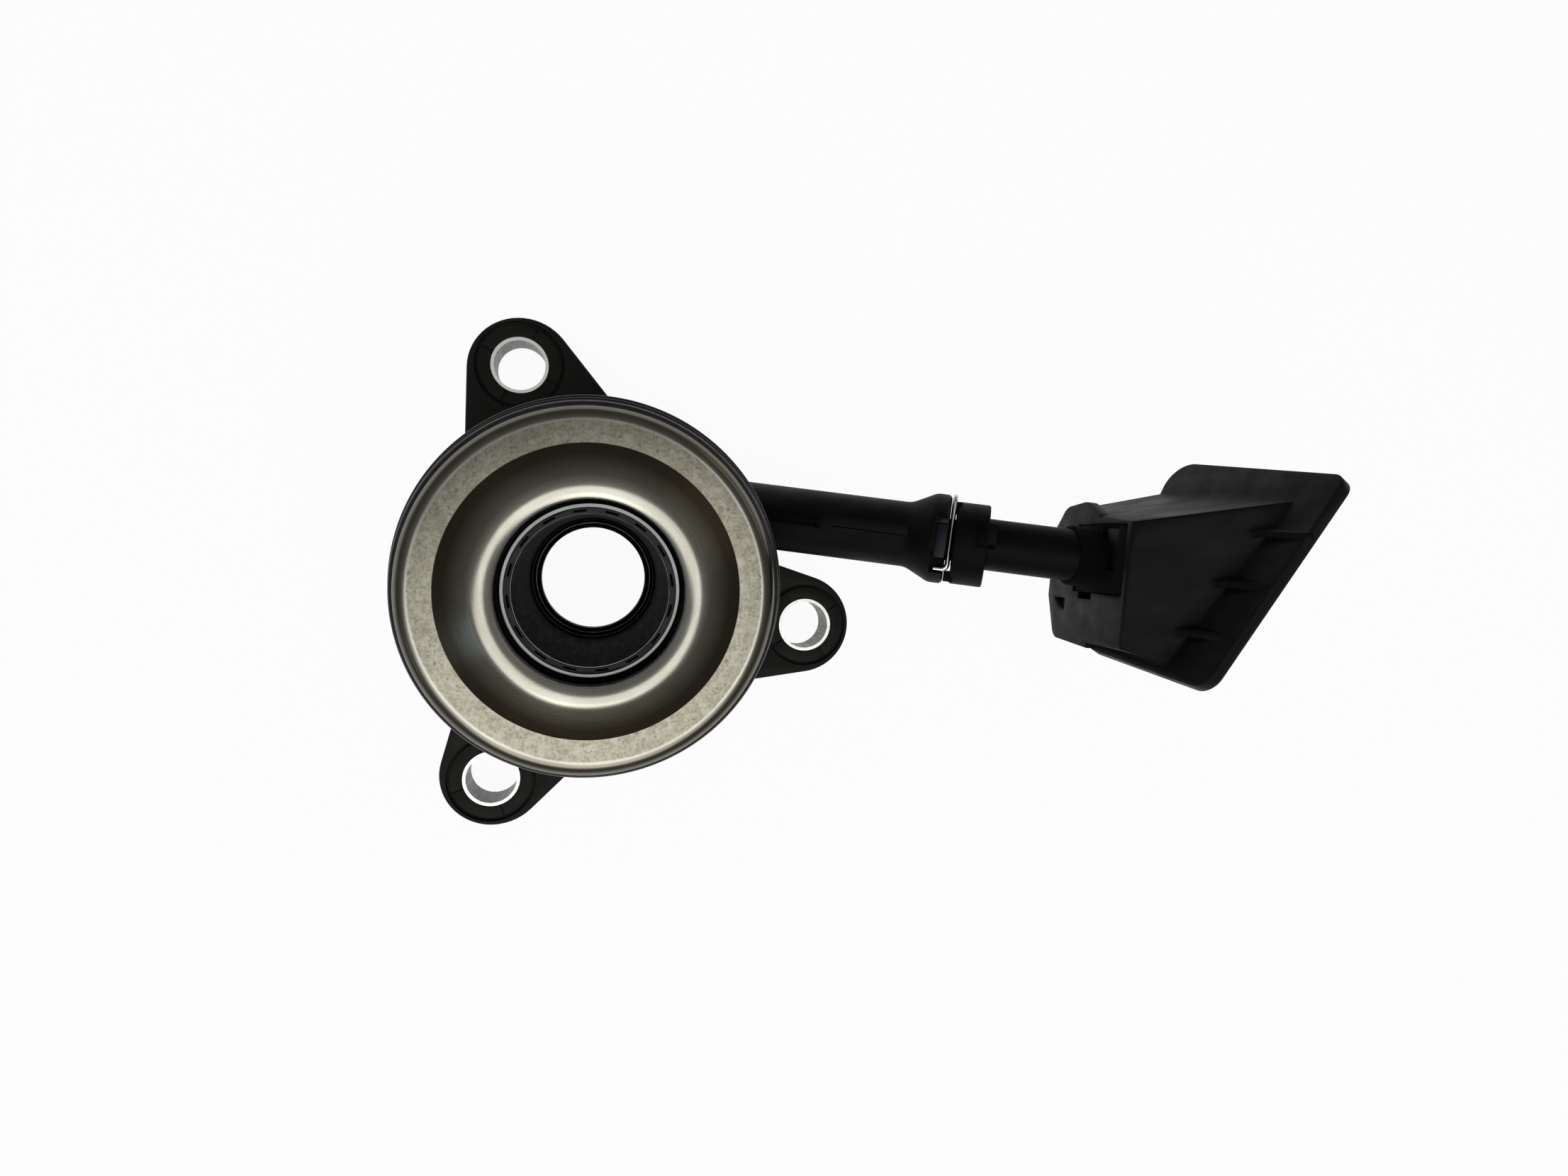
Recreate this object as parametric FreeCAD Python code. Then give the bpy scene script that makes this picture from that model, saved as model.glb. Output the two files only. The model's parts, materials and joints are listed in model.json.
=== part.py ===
import FreeCAD, Part
import os
from math import cos, pi, radians, sin, tan

from FreeCAD import Matrix, Placement, Vector

# Hydraulic clutch release bearing: a ring piston slides on a guide tube inside a
# moulded housing and carries a ball bearing whose face ring presses the clutch fingers.
# Frame: millimetres, origin on the bearing axis at the mounting face, +Z towards the
# bearing face, +X roughly towards the line pipe.

# Mounting ears, seen from the bearing side
bolt_circle_radius = 44.0
ear_thickness = 9.5
ear_end_radius = 10.15
ear_end_setback = 0.95
ear_edge_round = 0.6
ear_angles = {"top": 107.8, "bottom": 243.0, "right": -13.2}
# flare angles of each ear's clockwise and counterclockwise sides
ear_flare_angles = {"top": (20.0, 20.0), "bottom": (10.5, 20.0), "right": (20.0, 6.3)}
boss_radius = 7.8
boss_groove_width = 0.7
boss_groove_depth = 1.2
boss_notch_width = 0.35
boss_notch_depth = 0.5
boss_notch_count = 4
ejector_mark_radius = 1.25
ejector_mark_depth = 0.3
ejector_mark_reach = 11.0

# Compression sleeves in the ears
sleeve_outer_radius = 5.43
sleeve_wall = 0.6

# Guide tube and the annular pressure chamber round it
tube_inner_radius = 12.3
tube_wall = 0.8
tube_top = 52.9
tube_flange_radius = 19.0
tube_flange_thickness = 1.2
chamber_radius = 19.5
chamber_floor = 5.0
cylinder_wall = 3.1
cylinder_top = 27.0
body_radius = 25.5
body_height = 20.5
body_edge_round = 1.0
running_gap = 0.1

# Face seal in the mounting face
oring_section = 1.9
oring_mean_radius = 21.6
oring_lift = 0.05

# Input shaft seal, pressed into the foot of the guide tube
shaft_radius = 10.34
shaft_land = 3.2
seal_lip_wall = 0.5
seal_case_wall = 0.45
seal_web = 1.6
seal_height = 6.0
seal_chamfer = 0.8
garter_gap = 0.05

# Stop ring clipped over the end of the guide tube
stop_top = tube_top + 0.8
stop_skirt_bottom = stop_top - 3.7
stop_outer_radius = 14.15
stop_edge_round = 0.7
slot_count = 16
slot_inner_radius = 12.62
slot_outer_radius = 12.98
slot_arc = 9.5
slot_phase = 97.0

# Piston and its two rings
stroke = 12.0
floor_gap = 0.6
cup_height = 3.9
cup_lip_depth = 2.2
piston_foot = chamber_floor + floor_gap + stroke + cup_height
piston_shoulder = 39.3
piston_neck_radius = 15.2
stop_gap = 0.3
wiper_width = 1.0
wiper_height = 1.6

# Bearing carrier, which is also the upper seat of the preload spring
carrier_sheet = 1.2
carrier_top = piston_shoulder + carrier_sheet
carrier_rim_radius = 33.06
carrier_rim_top = carrier_top - 2.5
carrier_rim_bottom = carrier_rim_top - 2.0
carrier_skirt_gap = 0.6
carrier_lip_radius = 32.1
carrier_lip_top = carrier_top + 1.5
carrier_lip_width = 1.3

# Preload spring, a conical coil
spring_wire_radius = 1.1
spring_seat_gap = 0.03
spring_turns = 2.5
spring_start = 200.0
spring_points_per_turn = 24

# Ball bearing: outer race at rest, inner race and face in one turning ring
ball_radius = 3.175
ball_count = 18
ball_pitch_radius = 24.3
washer_thickness = 0.5
race_bottom = carrier_top + washer_thickness
ball_rise = 6.0
ball_height = race_bottom + ball_rise
groove_radius = 3.3
race_outer_radius = 29.6
race_top = ball_height + 5.2
outer_low_shoulder = 25.6
outer_high_shoulder = 26.6
inner_low_shoulder = 22.2
inner_high_shoulder = 23.0
neck_inner_radius = 17.4
neck_bottom = ball_height - 4.4
washer_inner_radius = 26.8
cap_wall = 0.7
cap_top = race_top + 0.6
cap_lip_radius = 29.2
race_cap_gap = 0.1
shield_thickness = 0.6
shield_gap = 0.35
cage_wall = 1.4
cage_half_height = 4.0
pocket_gap = 0.2

# Turning face ring
face_sheet = 2.0
face_flat_height = ball_height + 11.5
face_flat_radius = 26.8
face_outer_radius = 29.0
face_wall_bottom = race_top + 1.0
cone_foot_radius = 23.1
crest_radius = 16.3
crest_height = face_flat_height + 3.85
crest_round = 2.6
face_bore_radius = 14.5
face_bore_edge = crest_height - 0.96
face_lip_depth = 4.8
face_lip_wall = 1.1

# Line pipe: axis offset from the bearing axis, heading and rise; stations run along
# the axis from its nearest point to the bearing axis
pipe_offset = 17.0
pipe_heading = -7.67
pipe_rise = 18.5
pipe_foot_height = 3.63
pipe_radius = 6.5
pipe_bore_radius = 2.2
pipe_start = 6.0
pipe_bore_start = 7.0
pipe_rib_side = -0.4
pipe_rib_width = 2.0
pipe_rib_height = 0.3
pipe_rib_start = 34.0
pipe_mark_station = 46.3
pipe_mark_side = 0.1
pipe_mark_radius = 1.3
socket_flare_start = 62.9
socket_flare_end = 67.7
socket_end = 70.7
socket_radius = 8.9
socket_edge_round = 0.9
socket_bore_start = 60.5

# Connector tube, its seal ring and the castellated collar
link_radius = 5.15
link_bore_radius = 2.0
link_start = 61.0
link_end = 111.0
link_seal_station = 64.4
link_seal_section = 1.6
collar_radius = 8.2
collar_end = 78.5
collar_notch_length = 2.4
collar_notch_arc = 32.0
collar_notch_angle = 77.0
collar_notch_count = 3
collar_gap = 0.2
collar_play = 0.6
collar_sag = 0.45
collar_edge_round = 0.4
collar_lug_width = 2.15
collar_lug_height = 7.6

# Wire clip: a flat U whose legs cross the connector tube, with bent tails
clip_wire_radius = 0.5
clip_station = 71.3
clip_leg_offset = 4.75
clip_bend_reach = 8.4
clip_tail_reach = 6.1
clip_tail_length = 2.6
clip_travel = 2.6
clip_slot_gap = 0.35
window_length = 2.7
window_width = 8.4
window_station = 69.4
window_floor = 6.4

# Closure: hollow box with a sloping flange plate that shuts the bell housing's window.
# Corners go near top, far top, far foot, near foot; the near side is the one towards +Y.
flange_station = 115.0
flange_heading = -32.0
flange_lean = -14.0
flange_thickness = 2.4
# (along, up, rounding) in the flange plane
flange_corners = [(-24.3, 27.9, 2.5), (20.8, 22.8, 4.0), (20.8, -10.8, 2.5), (-23.3, -15.4, 5.5)]
box_wall = 2.0
# (side, height) on the end wall
box_end_corners = [(11.3, 51.0), (-12.2, 50.7), (-12.6, 23.0), (13.8, 21.0)]
# (along, up) in the flange plane
box_flange_corners = [(-18.9, 20.2), (18.3, 12.3), (17.5, -8.5), (-17.0, -13.0)]
box_end_x = 95.0
box_end_heading = -5.6
# (side, height, rounding) of the foot plate on the end wall
foot_plate_corners = [
    (12.9, 37.6, 0.8), (-13.4, 37.0, 0), (-12.6, 21.0, 3.0), (-4.0, 16.8, 0),
    (9.5, 16.8, 4.0), (14.6, 22.0, 5.0), (15.6, 31.5, 5.0)]
foot_plate_thickness = 1.9
# opening in the end wall that the connector tube enters by, with a finger reaching into it
entry_near = 11.0
entry_far = -2.6
entry_foot = 28.6
entry_top = 49.2
entry_depth = 5.0
entry_wall = 1.6
finger_near = 10.5
finger_far = 2.2
finger_foot = 38.8
finger_top = 45.2
finger_depth = 0.9
# notch beside the opening, from and to these heights
entry_notch = (31.4, 37.0)
entry_notch_depth = 1.3
# sunk mark on the end wall as (side, height) corners
end_mark = [(-4.2, 20.0), (-4.2, 25.3), (-6.9, 25.3), (-6.0, 22.0)]
end_mark_depth = 1.2
# ribs between the box's top and the flange plate, placed along the flange
rib_positions = [-11.6, -0.5, 10.4]
rib_thickness = 1.1
rib_run = 6.0
rib_root = 3.0
rib_reach = 9.0

# Rubber grommet that seals the entry round the connector tube
grommet_radius = 5.9
grommet_reach = 4.1
grommet_setback = 0.3
grommet_gap = 0.05

# Line port in the closure's pocket
port_radius = 7.2
port_start = 108.4
port_end = 119.0
port_bore_radius = 4.6
port_bore_start = 112.0
port_groove_station = 116.2
port_groove_depth = 0.9
port_clip_wire_radius = 0.55

AXIS = Vector(0, 0, 1)
ORIGIN = Vector(0, 0, 0)


def direction(angle):
    return Vector(cos(radians(angle)), sin(radians(angle)), 0)


def rounded_wire(corners, place):
    """Closed wire through (a, b, radius) corners, each rounded by its own radius."""
    count = len(corners)
    starts, middles, ends = [], [], []
    for i in range(count):
        before = Vector(*corners[i - 1][:2], 0)
        here = Vector(*corners[i][:2], 0)
        after = Vector(*corners[(i + 1) % count][:2], 0)
        radius = corners[i][2] if len(corners[i]) > 2 else 0
        if radius == 0:
            starts.append(here)
            middles.append(None)
            ends.append(here)
            continue
        back = (before - here).normalize()
        forth = (after - here).normalize()
        half = back.getAngle(forth) / 2
        reach = radius / tan(half)
        centre = here + (back + forth).normalize() * (radius / sin(half))
        starts.append(here + back * reach)
        ends.append(here + forth * reach)
        middles.append(centre + (here - centre).normalize() * radius)
    edges = []
    for i in range(count):
        if middles[i] is not None:
            arc = Part.Arc(place(starts[i]), place(middles[i]), place(ends[i]))
            edges.append(arc.toShape())
        after = starts[(i + 1) % count]
        if (after - ends[i]).Length > 1e-6:
            edges.append(Part.LineSegment(place(ends[i]), place(after)).toShape())
    return Part.Wire(edges)


def turned(corners):
    """Solid of revolution about Z from (radius, height, rounding) corners."""
    wire = rounded_wire(corners, lambda p: Vector(p.x, 0, p.y))
    return Part.Face(wire).revolve(ORIGIN, AXIS, 360)


def band(inner, outer, low, high):
    return turned([(inner, low), (outer, low), (outer, high), (inner, high)])


def frame_at(origin, normal, side):
    """Placement whose z is normal and whose x is side."""
    normal = Vector(normal).normalize()
    across = normal.cross(side).normalize()
    side = across.cross(normal)
    matrix = Matrix(side.x, across.x, normal.x, origin.x,
                    side.y, across.y, normal.y, origin.y,
                    side.z, across.z, normal.z, origin.z,
                    0, 0, 0, 1)
    return Placement(matrix)


def placed(shape, placement):
    shape.Placement = placement.multiply(shape.Placement)
    return shape


# Derived sizes
tube_outer_radius = tube_inner_radius + tube_wall
cylinder_outer_radius = chamber_radius + cylinder_wall
piston_inner_radius = tube_outer_radius + running_gap
piston_outer_radius = chamber_radius - running_gap
piston_top = stop_skirt_bottom - stop_gap

# Pipe frame: x to the pipe's side, y up across it, z along it
pipe_foot = Vector(-sin(radians(pipe_heading)), cos(radians(pipe_heading)), 0) * pipe_offset
pipe_foot.z = pipe_foot_height
pipe_flat = direction(pipe_heading)
pipe_axis = pipe_flat * cos(radians(pipe_rise)) + AXIS * sin(radians(pipe_rise))
pipe_side = AXIS.cross(pipe_flat)
pipe_up = pipe_axis.cross(pipe_side)


def on_pipe(station, up=0.0, side=0.0):
    return pipe_foot + pipe_axis * station + pipe_up * up + pipe_side * side


def pipe_frame(station):
    return frame_at(on_pipe(station), pipe_axis, pipe_side)


def pipe_turned(corners):
    """Solid of revolution about the pipe axis from (radius, station, rounding) corners."""
    return placed(turned(corners), pipe_frame(0))


def pipe_box(stations, sides, ups):
    box = Part.makeBox(sides[1] - sides[0], ups[1] - ups[0], stations[1] - stations[0],
                       Vector(sides[0], ups[0], stations[0]))
    return placed(box, pipe_frame(0))


# Housing

def ear_outline(angle, flare_clockwise, flare_counter):
    """Plan of one ear: a round end and two sides that flare into the body."""
    outward = direction(angle)
    left = AXIS.cross(outward)
    centre = outward * (bolt_circle_radius - ear_end_setback)

    def at(turn):
        return centre + outward * ear_end_radius * cos(turn) + left * ear_end_radius * sin(turn)

    start = -(pi / 2 - radians(flare_clockwise))
    end = pi / 2 - radians(flare_counter)
    arc = Part.Arc(at(start), at((start + end) / 2), at(end)).toShape()
    inner = []
    for flare, sign, tangent in ((flare_counter, 1, at(end)), (flare_clockwise, -1, at(start))):
        run = -outward * cos(radians(flare)) + left * sign * sin(radians(flare))
        inner.append(tangent + run * (bolt_circle_radius - body_radius * 0.55))
    sides = Part.makePolygon([at(end), inner[0], inner[1], at(start)])
    return Part.Face(Part.Wire([arc] + sides.Edges))


def ear(angle, flare_clockwise, flare_counter):
    outward = direction(angle)
    left = AXIS.cross(outward)
    centre = outward * bolt_circle_radius
    solid = ear_outline(angle, flare_clockwise, flare_counter).extrude(AXIS * ear_thickness)
    tops = [e for e in solid.Edges if all(v.Z > ear_thickness - 0.01 for v in e.Vertexes)]
    outer = [e for e in tops if e.CenterOfMass.dot(outward) > body_radius * 0.9]
    solid = solid.makeFillet(ear_edge_round, outer)
    groove_floor = ear_thickness - boss_groove_depth
    groove = band(boss_radius, boss_radius + boss_groove_width, groove_floor, ear_thickness + 1)
    solid = solid.cut(groove.translated(centre))
    for i in range(boss_notch_count):
        notch = Part.makeBox(boss_radius, boss_notch_width, boss_notch_depth + 1,
                             Vector(0, -boss_notch_width / 2, ear_thickness - boss_notch_depth))
        notch.rotate(ORIGIN, AXIS, angle + 45 + i * 360 / boss_notch_count)
        solid = solid.cut(notch.translated(centre))
    mark_turn = 36 if flare_counter <= flare_clockwise else -36
    heading = -outward * cos(radians(mark_turn)) + left * sin(radians(mark_turn))
    spot = centre + heading * ejector_mark_reach
    mark = Part.makeCylinder(ejector_mark_radius, 2, spot + AXIS * (ear_thickness - ejector_mark_depth))
    return solid.cut(mark)


def sleeve_seat(angle):
    centre = direction(angle) * bolt_circle_radius
    return Part.makeCylinder(sleeve_outer_radius, ear_thickness + 2, centre - AXIS)


def housing_body():
    return turned([
        (0, 0), (body_radius, 0), (body_radius, body_height, body_edge_round),
        (cylinder_outer_radius, body_height), (cylinder_outer_radius, cylinder_top, 0.6),
        (0, cylinder_top)])


def housing_hollow():
    """Chamber, tube seat, flange recess and seal groove, all open or closed by other pieces."""
    chamber = band(0, chamber_radius, chamber_floor, cylinder_top + 1)
    tube_hole = Part.makeCylinder(tube_outer_radius, chamber_floor + 2, Vector(0, 0, -1))
    recess = Part.makeCylinder(tube_flange_radius, tube_flange_thickness + 1, Vector(0, 0, -1))
    groove = band(oring_mean_radius - oring_section * 0.6, oring_mean_radius + oring_section * 0.6,
                  -1, oring_section + oring_lift)
    return chamber.fuse([tube_hole, recess, groove])


def pipe_blank():
    """Pipe and flared socket, with the rib and ejector mark of the mould's parting line."""
    blank = pipe_turned([
        (0, pipe_start), (pipe_radius, pipe_start), (pipe_radius, socket_flare_start, 4),
        (socket_radius, socket_flare_end, 3), (socket_radius, socket_end, socket_edge_round),
        (0, socket_end)])
    rib = pipe_box((pipe_rib_start, socket_flare_start), (pipe_rib_side, pipe_rib_side + pipe_rib_width),
                   (0, pipe_radius + pipe_rib_height))
    mark = Part.makeCylinder(pipe_mark_radius, pipe_radius + pipe_rib_height * 1.5,
                             on_pipe(pipe_mark_station, side=pipe_mark_side), pipe_up)
    return blank.fuse([rib, mark])


def pipe_hollow():
    """Fluid bore into the chamber and the socket for the connector tube."""
    bore = pipe_turned([
        (0, pipe_bore_start), (pipe_bore_radius, pipe_bore_start), (pipe_bore_radius, socket_bore_start),
        (link_radius, socket_bore_start), (link_radius, socket_end + 1), (0, socket_end + 1)])
    low = link_seal_station - link_seal_section
    high = link_seal_station + link_seal_section
    groove = pipe_turned([(0, low), (link_radius + 0.8, low), (link_radius + 0.8, high), (0, high)])
    return bore.fuse(groove)


def clip_slots():
    """Cuts in the socket that let the wire clip's tails and the window through."""
    reach = socket_radius + 1
    half = clip_wire_radius + clip_slot_gap
    tail_from = clip_station - clip_tail_length - half
    cuts = []
    for sign in (1, -1):
        near = sign * (clip_leg_offset - half)
        far = sign * reach
        ups = (min(near, far), max(near, far))
        cuts.append(pipe_box((tail_from, socket_end + 1),
                             (-clip_tail_reach - half, -clip_tail_reach + half + clip_travel), ups))
    window = pipe_box((window_station - window_length / 2, window_station + window_length / 2),
                      (-window_width / 2, window_width / 2), (window_floor, reach))
    return cuts[0].fuse([cuts[1], window])


def make_housing():
    body = housing_body()
    for name, angle in ear_angles.items():
        body = body.fuse(ear(angle, *ear_flare_angles[name]))
    body = body.fuse(pipe_blank())
    for angle in ear_angles.values():
        body = body.cut(sleeve_seat(angle))
    body = body.cut(housing_hollow())
    body = body.cut(pipe_hollow())
    reach = bolt_circle_radius * 4
    below = Part.makeBox(2 * reach, 2 * reach, reach, Vector(-reach, -reach, -reach))
    return body.cut(clip_slots()).cut(below)


def make_sleeve(angle):
    centre = direction(angle) * bolt_circle_radius
    tube = turned([
        (sleeve_outer_radius - sleeve_wall, 0), (sleeve_outer_radius, 0),
        (sleeve_outer_radius, ear_thickness), (sleeve_outer_radius - sleeve_wall, ear_thickness)])
    return tube.translated(centre)


# Guide tube, seals and stop ring

def make_guide_tube():
    return turned([
        (tube_inner_radius, 0, seal_chamfer), (tube_flange_radius, 0),
        (tube_flange_radius, tube_flange_thickness), (tube_outer_radius, tube_flange_thickness),
        (tube_outer_radius, tube_top), (tube_inner_radius, tube_top)])


def make_shaft_seal():
    """Lip on the shaft, web flush with the mounting face and case pressed in the tube."""
    lip = shaft_radius + seal_lip_wall
    case = tube_inner_radius - seal_case_wall
    return turned([
        (shaft_radius, 0), (tube_inner_radius - seal_chamfer, 0), (tube_inner_radius, seal_chamfer),
        (tube_inner_radius, seal_height), (case, seal_height), (case, seal_web), (lip, seal_web),
        (lip, shaft_land), (shaft_radius, shaft_land)])


def make_garter():
    """Coil spring ring in the seal's channel, drawn as a plain ring."""
    lip = shaft_radius + seal_lip_wall
    case = tube_inner_radius - seal_case_wall
    radius = (case - lip) / 2 - garter_gap
    return Part.makeTorus((case + lip) / 2, radius, Vector(0, 0, seal_web + radius + garter_gap))


def make_face_oring():
    half = oring_section / 2
    return Part.makeTorus(oring_mean_radius, half, Vector(0, 0, half + oring_lift))


def make_stop_ring():
    ring = turned([
        (tube_outer_radius, stop_skirt_bottom, 0), (stop_outer_radius, stop_skirt_bottom, 0.2),
        (stop_outer_radius, stop_top, stop_edge_round), (tube_inner_radius, stop_top, 0.15),
        (tube_inner_radius, tube_top), (tube_outer_radius, tube_top)])
    depth = stop_top - tube_top
    for i in range(slot_count):
        sector = Part.Face(slot_outline()).extrude(AXIS * (depth + 1))
        sector.translate(AXIS * tube_top)
        sector.rotate(ORIGIN, AXIS, slot_phase + i * 360 / slot_count)
        ring = ring.cut(sector)
    return ring


def slot_outline():
    half = slot_arc / 2
    inner = Part.Arc(*[direction(a) * slot_inner_radius for a in (-half, 0, half)])
    outer = Part.Arc(*[direction(a) * slot_outer_radius for a in (-half, 0, half)])
    joins = [Part.LineSegment(direction(a) * slot_inner_radius, direction(a) * slot_outer_radius)
             for a in (-half, half)]
    return Part.Wire(Part.__sortEdges__([c.toShape() for c in [inner, outer] + joins]))


# Piston and what rides on it

def make_piston():
    wiper_seat = piston_inner_radius + wiper_width
    return turned([
        (piston_inner_radius, piston_foot), (piston_outer_radius, piston_foot, 0.4),
        (piston_outer_radius, piston_shoulder), (piston_neck_radius, piston_shoulder),
        (piston_neck_radius, piston_top, 0.2), (wiper_seat, piston_top),
        (wiper_seat, piston_top - wiper_height), (piston_inner_radius, piston_top - wiper_height)])


def make_piston_seal():
    """U-shaped cup whose lips face the fluid."""
    foot = piston_foot - cup_height
    middle = (piston_inner_radius + piston_outer_radius) / 2
    return turned([
        (piston_inner_radius, foot), (piston_inner_radius + 1.3, foot),
        (middle, foot + cup_lip_depth, 0.8), (piston_outer_radius - 1.3, foot), (piston_outer_radius, foot),
        (piston_outer_radius, piston_foot), (piston_inner_radius, piston_foot)])


def make_wiper():
    low = piston_top - wiper_height
    return turned([
        (piston_inner_radius, low), (piston_inner_radius + wiper_width, low),
        (piston_inner_radius + wiper_width, piston_top), (piston_inner_radius + 0.3, piston_top),
        (piston_inner_radius, piston_top - 0.5)])


def make_carrier():
    skirt = cylinder_outer_radius + carrier_skirt_gap
    lip_inner = carrier_lip_radius - carrier_lip_width
    return turned([
        (piston_neck_radius, piston_shoulder), (skirt, piston_shoulder), (skirt, carrier_rim_bottom),
        (carrier_rim_radius, carrier_rim_bottom, 0.4), (carrier_rim_radius, carrier_rim_top, 0.5),
        (carrier_lip_radius, carrier_rim_top), (carrier_lip_radius, carrier_lip_top, 0.3),
        (lip_inner, carrier_lip_top, 0.3), (lip_inner, carrier_top), (piston_neck_radius, carrier_top)])


def make_spring():
    """Conical coil between the housing's shoulder and the carrier's rim."""
    low = body_height + spring_wire_radius + spring_seat_gap
    high = carrier_rim_bottom - spring_wire_radius - spring_seat_gap
    low_radius = cylinder_outer_radius + spring_wire_radius + 0.4
    high_radius = carrier_rim_radius - spring_wire_radius - 1.0
    count = int(spring_turns * spring_points_per_turn)
    ramp = 0.25 / spring_turns
    points = []
    for i in range(count + 1):
        share = i / count
        climb = min(max((share - ramp / 2) / (1 - ramp), 0), 1)
        radius = low_radius + (high_radius - low_radius) * share
        point = direction(spring_start + share * spring_turns * 360) * radius
        points.append(point + AXIS * (low + (high - low) * climb))
    path = Part.BSplineCurve()
    path.interpolate(points)
    start, along = path.value(path.FirstParameter), path.tangent(path.FirstParameter)[0]
    circle = Part.Wire(Part.makeCircle(spring_wire_radius, start, along))
    return Part.Wire(path.toShape()).makePipeShell([circle], True, True)


# Ball bearing

def make_outer_race():
    ring = turned([
        (outer_low_shoulder, race_bottom, 0.4), (race_outer_radius, race_bottom, 0.6),
        (race_outer_radius, race_top, 0.4), (outer_high_shoulder, race_top, 0.3),
        (outer_high_shoulder, ball_height), (outer_low_shoulder, ball_height)])
    return ring.cut(Part.makeTorus(ball_pitch_radius, groove_radius, AXIS * ball_height))


def make_face_ring():
    under_flat = face_flat_height - face_sheet
    face_inner_radius = face_outer_radius - face_sheet
    lip_foot = face_bore_edge - face_lip_depth
    ring = turned([
        (face_bore_radius, lip_foot, 0.3), (face_bore_radius, face_bore_edge, 0.15),
        (crest_radius, crest_height, crest_round), (cone_foot_radius, face_flat_height, 2.5),
        (face_outer_radius, face_flat_height, face_outer_radius - face_flat_radius),
        (face_outer_radius, face_wall_bottom, 0.3), (face_inner_radius, face_wall_bottom, 0.3),
        (face_inner_radius, under_flat, 0.8), (inner_high_shoulder, under_flat, 0.8),
        (inner_high_shoulder, ball_height), (inner_low_shoulder, ball_height),
        (inner_low_shoulder, neck_bottom, 0.4), (neck_inner_radius, neck_bottom, 0.4),
        (neck_inner_radius, crest_height - face_sheet * 1.5, 1.0),
        (face_bore_radius + face_lip_wall, crest_height - face_sheet * 1.5, 0.5),
        (face_bore_radius + face_lip_wall, lip_foot, 0.3)])
    return ring.cut(Part.makeTorus(ball_pitch_radius, groove_radius, AXIS * ball_height))


def make_balls():
    balls = []
    for i in range(ball_count):
        centre = direction(i * 360 / ball_count) * ball_pitch_radius + AXIS * ball_height
        balls.append(Part.makeSphere(ball_radius, centre))
    return Part.makeCompound(balls)


def make_cage():
    cage = band(ball_pitch_radius - cage_wall / 2, ball_pitch_radius + cage_wall / 2,
                ball_height - cage_half_height, ball_height + cage_half_height)
    for i in range(ball_count):
        outward = direction(i * 360 / ball_count)
        start = outward * (ball_pitch_radius - cage_wall) + AXIS * ball_height
        cage = cage.cut(Part.makeCylinder(ball_radius + pocket_gap, cage_wall * 2, start, outward))
    return cage


def make_front_shield():
    return band(inner_high_shoulder + shield_gap, outer_high_shoulder,
                race_top - shield_thickness, race_top)


def make_rear_shield():
    return band(inner_low_shoulder + shield_gap, outer_low_shoulder,
                race_bottom + 0.4, race_bottom + 0.4 + shield_thickness)


def make_centring_washer():
    return band(washer_inner_radius, race_outer_radius, carrier_top, carrier_top + washer_thickness)


def make_retaining_cap():
    """Sheet cap that holds the outer race on the carrier with a little side play."""
    inner = race_outer_radius + race_cap_gap
    outer = inner + cap_wall
    return turned([
        (inner, carrier_top), (outer, carrier_top), (outer, cap_top, 0.8),
        (cap_lip_radius, cap_top), (cap_lip_radius, race_top), (inner, race_top)])


# Line connection

def make_link_tube():
    """Connector tube with grooves for its seal ring and the wire clip."""
    seal_low = link_seal_station - link_seal_section * 0.6
    seal_high = link_seal_station + link_seal_section * 0.6
    clip_low = clip_station - clip_wire_radius - 0.1
    clip_high = clip_station + clip_wire_radius + 0.1
    groove = clip_leg_offset - clip_wire_radius - 0.1
    return pipe_turned([
        (link_bore_radius, link_start), (link_radius, link_start, 0.5), (link_radius, seal_low),
        (link_radius - 1, seal_low), (link_radius - 1, seal_high), (link_radius, seal_high),
        (link_radius, clip_low), (groove, clip_low), (groove, clip_high), (link_radius, clip_high),
        (link_radius, link_end), (link_bore_radius, link_end)])


def make_link_seal():
    half = link_seal_section / 2
    ring = Part.makeTorus(link_radius - 1 + half, half)
    return placed(ring, pipe_frame(link_seal_station))


def make_collar():
    """Castellated collar behind the wire clip."""
    front = clip_station + clip_wire_radius + collar_gap
    bore = link_radius + collar_play
    collar = pipe_turned([
        (bore, front), (collar_radius, front, collar_edge_round),
        (collar_radius, collar_end, collar_edge_round), (bore, collar_end)])
    half = collar_notch_arc / 2
    reach = collar_radius + 1
    for i in range(collar_notch_count):
        corners = [ORIGIN, direction(-half) * reach, direction(half) * reach, ORIGIN]
        wedge = Part.Face(Part.makePolygon(corners)).extrude(AXIS * (collar_notch_length + 1))
        wedge = wedge.cut(Part.makeCylinder(bore + 0.6, collar_notch_length + 2))
        wedge.rotate(ORIGIN, AXIS, collar_notch_angle + i * 360 / collar_notch_count)
        collar = collar.cut(placed(wedge, pipe_frame(collar_end - collar_notch_length)))
    for side in (bore, -bore - collar_lug_width):
        lug = pipe_box((socket_end + collar_gap / 2, front + collar_edge_round * 2),
                       (side, side + collar_lug_width), (-collar_lug_height / 2, collar_lug_height / 2))
        collar = collar.fuse(lug)
    return collar.translated(pipe_side * -collar_sag)


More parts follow.
